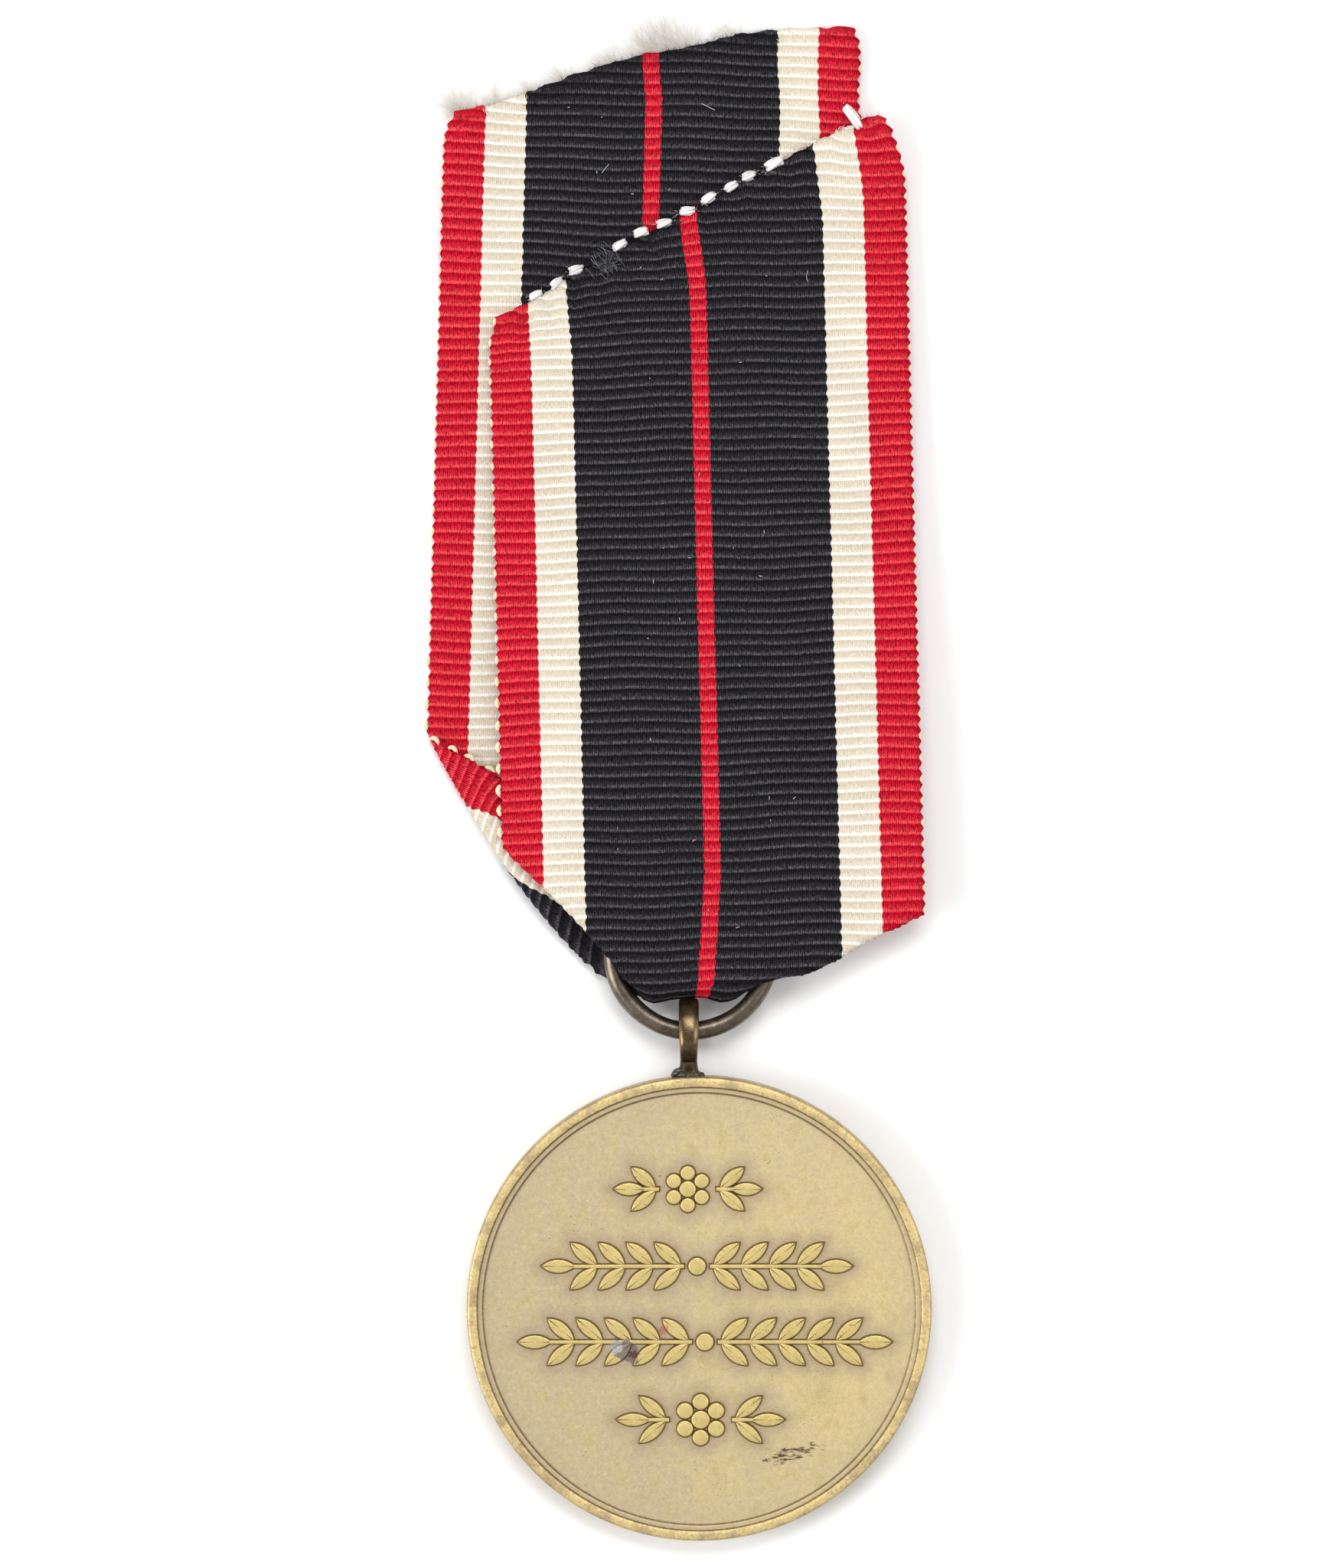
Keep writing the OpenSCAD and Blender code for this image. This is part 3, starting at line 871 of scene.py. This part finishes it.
def build_solder(material):
    """Lumps of solder round the eye's foot."""
    rng = np.random.default_rng(17)
    sides, rings = 14, 9
    polar = (math.pi * (np.arange(rings) + 0.5) / rings)[:, None]
    turn = angles(sides)
    pile = Pile()
    for x, y, z, r in SOLDER_LUMPS:
        phase = rng.uniform(0, 6, 4)
        rough = r * (1 + 0.13 * np.sin(3 * turn + phase[0] + 2 * polar) + 0.1 * np.sin(5 * polar + phase[1]))
        around = rough * np.sin(polar)
        lump_x = EYE_X + x + 1.2 * around * np.cos(turn)
        lump = np.stack([lump_x, y + 0.9 * rough * np.cos(polar), z + around * np.sin(turn)], -1)
        pile.add(lump.reshape(-1, 3), tube_faces(rings, sides))
    return pile.finish("solder_lumps", material, MEDAL_FRAME)


# ---- Materials ----


class Wire:
    """The output of a shader node. Sums and products of wires make further nodes."""

    def __init__(self, graph, socket):
        self.graph, self.socket = graph, socket

    def __add__(self, other):
        return self.graph.math("ADD", self, other)

    def __sub__(self, other):
        return self.graph.math("SUBTRACT", self, other)

    def __rsub__(self, other):
        return self.graph.math("SUBTRACT", other, self)

    def __mul__(self, other):
        return self.graph.math("MULTIPLY", self, other)


class Graph:
    """A new material, with short names for building its nodes."""

    def __init__(self, name):
        self.material = bpy.data.materials.new(name)
        self.material.use_nodes = True
        self.tree = self.material.node_tree
        self.tree.nodes.clear()
        self.shader = self.tree.nodes.new("ShaderNodeBsdfPrincipled")
        out = self.tree.nodes.new("ShaderNodeOutputMaterial")
        self.tree.links.new(self.shader.outputs[0], out.inputs[0])

    def fill(self, node, values):
        """Gives inputs of a node, by name or number, a plain value or a wire."""
        for key, value in values.items():
            if isinstance(value, Wire):
                self.tree.links.new(value.socket, node.inputs[key])
            else:
                node.inputs[key].default_value = value

    def made(self, kind, values, output=0, **props):
        """An output of a new node with these input values and properties."""
        node = self.tree.nodes.new(kind)
        for key, value in props.items():
            setattr(node, key, value)
        self.fill(node, values)
        return Wire(self, node.outputs[output])

    def math(self, operation, *values):
        return self.made("ShaderNodeMath", dict(enumerate(values)), operation=operation)

    def mix(self, factor, a, b):
        return self.made("ShaderNodeMix", {0: factor, 6: a, 7: b}, 2, data_type="RGBA")

    def noise(self, vector, scale, detail=2.0, rough=0.5):
        values = {"Vector": vector, "Scale": scale, "Detail": detail, "Roughness": rough}
        return self.made("ShaderNodeTexNoise", values, "Fac")

    def remap(self, value, low, high, to_low=0.0, to_high=1.0, shape="LINEAR"):
        values = dict(enumerate((value, low, high, to_low, to_high)))
        return self.made("ShaderNodeMapRange", values, clamp=True, interpolation_type=shape)

    def join(self, x, y):
        return self.made("ShaderNodeCombineXYZ", {0: x, 1: y})

    def split(self, vector):
        return [self.made("ShaderNodeSeparateXYZ", {0: vector}, i) for i in range(3)]

    def scaled(self, vector, factor):
        return self.made("ShaderNodeVectorMath", {0: vector, "Scale": factor}, operation="SCALE")

    def own_mm(self):
        """Places on the piece in its own frame, in millimetres."""
        return self.scaled(self.made("ShaderNodeTexCoord", {}, "Object"), 1 / MM)

    def mark(self, name):
        return self.made("ShaderNodeAttribute", {}, "Fac", attribute_name=name)

    def bump(self, height, strength, distance_mm):
        values = {"Height": height, "Strength": strength, "Distance": distance_mm * MM}
        self.fill(self.shader, {"Normal": self.made("ShaderNodeBump", values)})

    def finish(self, colour, roughness, metallic=0.0, specular=0.5, sheen=0.0):
        """The material, once these values are in its shader."""
        self.fill(self.shader, {"Base Color": colour, "Roughness": roughness, "Metallic": metallic,
                                "Specular IOR Level": specular, "Sheen Weight": sheen})
        return self.material


WHITE_GAIN = 1.12


def tone(r, g, b):
    """Reflectance of a colour that is seen as these 8-bit values beside a white floor."""
    def line(c):
        c = c / 255
        c = c / 12.92 if c <= 0.04045 else ((c + 0.055) / 1.055) ** 2.4
        return c / WHITE_GAIN
    return (line(r), line(g), line(b), 1)


# Spacing of the fine warp threads and of the twist that shows in each rib's bright line, and how far a
# stripe's boundary swings from side to side between two ribs
WARP_PITCH = 0.13
TWIST_PITCH = 0.3
SWING = 0.045

# Deep painted shade, middle, and painted highlight along the bright line of each stripe's ribs, and how
# strongly its threads are mottled
RED = (tone(170, 0, 30), tone(195, 32, 50), tone(236, 76, 80), (1.05, 1.05, 1.05, 1))
CREAM = (tone(208, 196, 175), tone(221, 208, 188), tone(255, 252, 245), (0.28, 0.28, 0.28, 1))
BLACK = (tone(15, 14, 17), tone(37, 35, 39), tone(76, 73, 79), (1.7, 1.7, 1.7, 1))

# Place of each boundary, the colour right of it, and which way it swings at the bright line
STRIPES = (
    (-11.82, CREAM, -1),
    (-8.95, BLACK, 1),
    (-0.6, RED, 1),
    (0.55, BLACK, -1),
    (8.85, CREAM, -1),
    (11.72, RED, 1),
)


def ribbon_material():
    g = Graph("grosgrain")
    u, v, _ = g.split(g.made("ShaderNodeUVMap", {}, uv_map="strip"))
    flat = g.join(u, v)
    size = g.math("ABSOLUTE", v)
    turns = g.math("DIVIDE", size, RIB)
    # on both halves the phase grows down the ribbon, so that the shaded flank is the lower one
    phase = 1.0 - g.math("FRACT", turns)
    swing = g.math("COSINE", turns * math.tau)
    drift = (g.noise(flat, 1.6) - 0.5) * 0.14
    colours = list(RED)
    for place, group, way in STRIPES:
        edge = g.remap(u + drift + swing * (-way * SWING), place - 0.025, place + 0.025)
        colours = [g.mix(edge, old, new) for old, new in zip(colours, group)]
    deep, middle, bright, mottle = colours
    jitter = g.noise(flat, 1.1) * 9.0
    thread = g.math("SINE", u * (math.tau / WARP_PITCH) + jitter)
    warp = thread * 0.11 + g.noise(g.join(u * 6.5, v * 3.4), 1.0, 3.0, 0.8)
    slant = u * (1 / TWIST_PITCH) + size * 3.2 + jitter
    twist = g.math("SINE", slant * math.tau) * 0.25 + g.noise(flat, 6.0, 2.0, 0.7)
    # painted highlight: the bright line lies in the valley between two ribs, and fades up the flank above it
    off = 0.5 - g.math("ABSOLUTE", phase - 0.5)
    line = g.remap(off, 0.21, 0.05, shape="SMOOTHSTEP")
    line = g.math("MAXIMUM", line, g.remap(phase, 0.66, 0.98, 0.0, 0.5))
    line = line * g.remap(twist, 0.2, 0.75, 0.5, 1.0)
    # painted shade on the flank below each bright line, darkest just under it
    shade = g.remap(phase, 0.3, 0.74, 1.0, 0.0, shape="SMOOTHSTEP")
    colour = g.mix(line, g.mix(shade * 0.95, middle, deep), bright)
    speckle = g.remap(warp, 0.25, 0.75, -1.0, 1.0) * mottle
    colour = g.scaled(colour, g.math("MAXIMUM", speckle + 1.0, 0.15))
    colour = g.scaled(colour, g.remap(g.noise(flat, 0.22, 3.0), 0.35, 0.7, 0.95, 1.05))
    g.bump(warp * 0.35 + line, 0.5, 0.05)
    return g.finish(colour, 0.6, specular=0.05)


def fuzz_material():
    """Fibres in the colour of the stripe that they stand on."""
    g = Graph("silk_fuzz")
    place = g.mark("place")
    colour = RED[1]
    for at, group, _ in STRIPES:
        colour = g.mix(g.math("GREATER_THAN", place, at), colour, group[2] if group is CREAM else group[1])
    grain = g.noise(g.own_mm(), 6.0)
    return g.finish(g.scaled(colour, g.remap(grain, 0.3, 0.7, 0.9, 1.3)), 0.7, specular=0.1)


def thread_material(name, light, dark, sheen=0.1):
    g = Graph(name)
    grain = g.noise(g.own_mm(), 14.0)
    g.bump(grain, 0.4, 0.03)
    colour = g.scaled(g.mix(g.mark("tone"), dark, light), g.remap(grain, 0.3, 0.7, 0.86, 1.06))
    return g.finish(colour, 0.75, specular=0.15, sheen=sheen)


def spot(g, x, y, at, radius, ragged, tilt, squeeze):
    """1 inside a ragged patch on the face, falling to 0 outside it."""
    c, s = math.cos(math.radians(tilt)), math.sin(math.radians(tilt))
    dx, dy = x - at[0], y - at[1]
    a = dx * c + dy * s
    b = (dy * c - dx * s) * squeeze
    far = g.math("SQRT", a * a + b * b) + (ragged - 0.5) * (radius * 2.2)
    return g.remap(far, radius, radius * 0.75)


def relief_colour(g, middle, fine):
    """Rubbed bright on top, with painted shade and some dirt darkening the angles round the ornament."""
    colour = g.mix(g.remap(middle, 0.35, 0.65), tone(216, 194, 128), tone(228, 205, 136))
    colour = g.mix(g.remap(fine, 0.45, 0.7, 0.0, 0.5), colour, tone(196, 170, 110))
    # painted shade, with some dirt, round the foot of each piece of ornament
    return g.mix(g.remap(g.mark("edge"), 0.25, 0.75, 0.0, 0.92), colour, tone(122, 98, 62))


def field_colour(g, place, x, y, broad, middle, fine):
    """The field, yellower on its right side with a painted sheen there and greyer on its left, with its rim
    and stepped lines.
    """
    # painted sheen: the field grows yellower towards its right side
    painted_sheen = g.remap(x, -13.0, 13.0) + (middle - 0.5) * 1.6 + (broad - 0.5) * 1.4
    colour = g.mix(g.remap(painted_sheen, 0.1, 1.0), tone(205, 187, 150), tone(224, 203, 150))
    colour = g.mix(g.remap(middle, 0.5, 0.7, 0.0, 0.55), colour, tone(198, 177, 126))
    cloud = g.noise(place, 2.4, 3.0, 0.6)
    colour = g.mix(g.remap(cloud, 0.48, 0.72, 0.0, 0.45), colour, tone(228, 208, 158))
    colour = g.mix(g.remap(broad, 0.6, 0.74, 0.0, 0.4), colour, tone(186, 168, 120))
    # painted shade, with some dirt, in a halo round the ornament
    halo = g.mark("near") * g.remap(fine, 0.3, 0.7, 0.55, 0.85)
    colour = g.mix(halo, colour, tone(180, 160, 134))
    radius = g.math("SQRT", x * x + y * y)
    # painted shade, greying the field towards the rim's wall
    border = g.remap(radius, field_r - 2.4, field_r, 0.0, 0.5) * g.remap(middle, 0.35, 0.65, 0.4, 1.0)
    colour = g.mix(border, colour, tone(196, 179, 150))
    patch = g.remap(g.noise(place, 0.7, 4.0, 0.65), 0.46, 0.6)
    rim_colour = g.mix(patch, tone(230, 206, 146), tone(196, 174, 130))
    rim_colour = g.mix(g.remap(fine, 0.52, 0.7, 0.0, 0.7), rim_colour, tone(160, 134, 94))
    rim_in = disc_r - RIM_W
    colour = g.mix(g.remap(radius, rim_in - 0.02, rim_in + 0.03), colour, rim_colour)
    # painted shade: dark lines along the steps and bevels of the face
    line = g.mark("line") * g.remap(fine, 0.3, 0.6, 0.75, 1.0)
    return g.mix(line, colour, tone(104, 80, 52))


def struck_material(name, relief):
    """Aged gilt bronze of the disc."""
    g = Graph(name)
    place = g.own_mm()
    x, y, z = g.split(place)
    broad = g.noise(place, 0.16)
    middle = g.noise(place, 0.9, 3.0)
    fine = g.noise(place, 5.0, 3.0, 0.6)
    grain = g.noise(place, 16.0, 2.0, 0.6)
    if relief:
        colour = relief_colour(g, middle, fine)
    else:
        colour = field_colour(g, place, x, y, broad, middle, fine)
    # pits and specks gathered in a few places
    crowd = g.remap(g.noise(place, 0.3, 1.0), 0.5, 0.72, 0.82, 0.68)
    speck = g.math("GREATER_THAN", g.noise(place, 4.2, 1.0), crowd)
    colour = g.mix(speck * 0.55, colour, tone(118, 98, 70))
    tiny = g.math("GREATER_THAN", g.noise(place, 7.0, 0.0), g.remap(broad, 0.4, 0.65, 0.86, 0.76))
    colour = g.mix(tiny * 0.35, colour, tone(120, 100, 76))
    # stains on the upper face: a grey patch with a pale edge and a brown middle, a red spot, a dark smear
    up = g.math("GREATER_THAN", z, 0.0)
    ragged = g.noise(place, 1.7, 3.0, 0.6)
    streaks = g.noise(g.join(x * 1.3, y * 4.0), 1.0, 3.0, 0.65)
    for at, radius, edge, tilt, squeeze, strength, stain in (
        ((-5.15, -2.9), 1.15, ragged, -35, 1.5, 0.85, tone(120, 112, 112)),
        ((-5.8, -2.7), 0.5, fine, 0, 1, 0.8, tone(190, 190, 186)),
        ((-4.6, -3.2), 0.42, fine, 0, 1.4, 0.9, tone(98, 66, 54)),
        ((-2.5, -1.5), 0.38, fine, 0, 1, 0.6, tone(176, 110, 74)),
        ((6.5, -10.15), 1.9, streaks, 14, 3.6, g.remap(streaks, 0.42, 0.56, 0.95, 0.0), tone(78, 58, 44)),
    ):
        colour = g.mix(spot(g, x, y, at, radius, edge, tilt, squeeze) * up * strength, colour, stain)
    colour = g.scaled(colour, g.remap(grain, 0.3, 0.7, 0.93, 1.07))
    colour = g.scaled(colour, g.remap(g.noise(place, 4.2, 3.0, 0.75), 0.3, 0.7, 0.9, 1.1))
    g.bump(grain + fine * 0.8 - speck * 1.2, 0.22, 0.03)
    return g.finish(colour, g.remap(fine, 0.3, 0.7, 0.40, 0.52), metallic=0.55, specular=0.3)


def bronze_material(name, dark, light, roughness, scale=1.0, painted_sheen=None):
    """Dark bronze with a mottled skin. When two heights are given, it is painted brighter between them, a
    painted highlight, and darker outside them, painted shade, and is less rough between them.
    """
    g = Graph(name)
    place = g.own_mm()
    cloud = g.noise(place, 1.1 * scale, 3.0, 0.6)
    fine = g.noise(place, 9.0 * scale, 3.0, 0.6)
    colour = g.mix(g.remap(cloud, 0.38, 0.62), dark, light)
    colour = g.scaled(colour, g.remap(fine, 0.35, 0.65, 0.8, 1.12))
    rough = g.remap(fine, 0.3, 0.7, roughness - 0.05, roughness + 0.1)
    if painted_sheen:
        low, high = painted_sheen
        height = g.split(place)[1]
        # painted highlight between the two heights and painted shade outside them; the roughness drops
        # between them as well
        sheen_band = g.remap(height, low - 0.8, low) * g.remap(height, high, high + 0.8, 1.0, 0.0)
        colour = g.scaled(colour, sheen_band * 1.05 + 0.5)
        rough = rough + 0.14 - sheen_band * 0.2
    g.bump(fine, 0.25, 0.03)
    return g.finish(colour, rough, metallic=0.9)


# ---- Build ----

ribbon = build_ribbon(ribbon_material())
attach(ribbon, "ribbon")
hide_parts("ribbon")

weft = build_selvedge_loops(thread_material("weft_thread", tone(246, 236, 208), tone(236, 222, 186)))
stitches = build_hem_stitches(thread_material("sewing_thread", tone(255, 254, 252), tone(225, 222, 218), 0.2))
lint = build_lint(thread_material("lint", tone(190, 190, 192), tone(100, 102, 108)))
tufts = build_tufts(thread_material("frayed_weft", tone(255, 253, 248), tone(240, 230, 212), 0.3))
fuzz = build_fold_fuzz(fuzz_material())
for piece, slot in ((weft, "ribbon"), (fuzz, "ribbon"), (stitches, "stitches"), (lint, "stitches"),
                    (tufts, "tufts")):
    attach(piece, "ribbon")
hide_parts("hem_stitches")
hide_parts("thread_tufts")

reverse, obverse = reverse_shapes(), obverse_shapes()
disc = build_disc(struck_material("struck_bronze", False), reverse, obverse)
relief_material = struck_material("struck_relief", True)
reverse_relief = build_relief("reverse_relief", reverse, False, relief_material)
obverse_relief = build_relief("obverse_relief", obverse, True, relief_material)
# the eye's painted highlight lies across the middle of its loop, with painted shade at its ends
eye = build_eye(bronze_material("eye_bronze", tone(82, 68, 48), tone(116, 98, 70), 0.27, painted_sheen=(18.6, 19.9)))
solder = build_solder(bronze_material("solder_skin", tone(70, 64, 62), tone(118, 112, 108), 0.5, 2.0))
for piece, slot in ((disc, "medal"), (reverse_relief, "medal"), (obverse_relief, "medal"), (eye, "eye"),
                    (solder, "solder")):
    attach(piece, "medal")
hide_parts("medal_disc")
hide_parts("suspension_eye")
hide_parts("eye_solder")

ring = build_ring(bronze_material("ring_bronze", tone(100, 90, 79), tone(128, 116, 103), 0.3))
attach(ring, "ring")
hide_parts("jump_ring")


# ---- Floor, light and camera ----

FLOOR_HALF = 3.0
FLOOR_GAP = 0.00002
# What the picture shows, in millimetres: its long side and its middle
VIEW_TALL = 109.8
VIEW_MID = (-0.763, -0.028)


def area_light(name, place, size, power):
    """A soft light that shines on the middle of the floor."""
    data = bpy.data.lights.new(name, "AREA")
    data.shape = "RECTANGLE"
    data.size, data.size_y = size
    data.energy = power
    thing = new_object(name, data)
    thing.location = place
    thing.rotation_euler = (-Vector(place)).to_track_quat("-Z", "Y").to_euler()


def build_floor():
    mesh = bpy.data.meshes.new("floor")
    r = FLOOR_HALF
    mesh.from_pydata([(-r, -r, 0), (r, -r, 0), (r, r, 0), (-r, r, 0)], [], [(0, 1, 2, 3)])
    mesh.materials.append(Graph("floor_white").finish((0.9, 0.9, 0.9, 1), 0.6, specular=0.2))
    thing = new_object("floor", mesh)
    thing.location.z = -FLOOR_GAP


def build_camera():
    """Looks straight down from so far that the picture's long side spans VIEW_TALL at the floor."""
    data = bpy.data.cameras.new("camera")
    data.sensor_width = 36
    data.lens = 140
    data.clip_start = 0.01
    data.clip_end = 10
    thing = new_object("camera", data)
    height = data.lens * VIEW_TALL / data.sensor_width + 1.5
    thing.location = Vector((*VIEW_MID, height)) * MM
    bpy.context.scene.camera = thing


def build_light():
    world = bpy.data.worlds.new("studio")
    bpy.context.scene.world = world
    world.use_nodes = True
    background = world.node_tree.nodes["Background"]
    background.inputs[0].default_value = (1, 1, 1, 1)
    background.inputs[1].default_value = 0.52
    area_light("key", (0.02, 0.36, 0.62), (0.4, 0.3), 2.5)
    area_light("left", (-0.55, -0.12, 0.35), (0.3, 0.5), 2.9)
    area_light("right", (0.5, -0.05, 0.45), (0.3, 0.5), 1.25)
    view = bpy.context.scene.view_settings
    view.view_transform = "Standard"
    view.look = "None"
    view.exposure = 0
    view.gamma = 1


build_floor()
build_camera()
build_light()
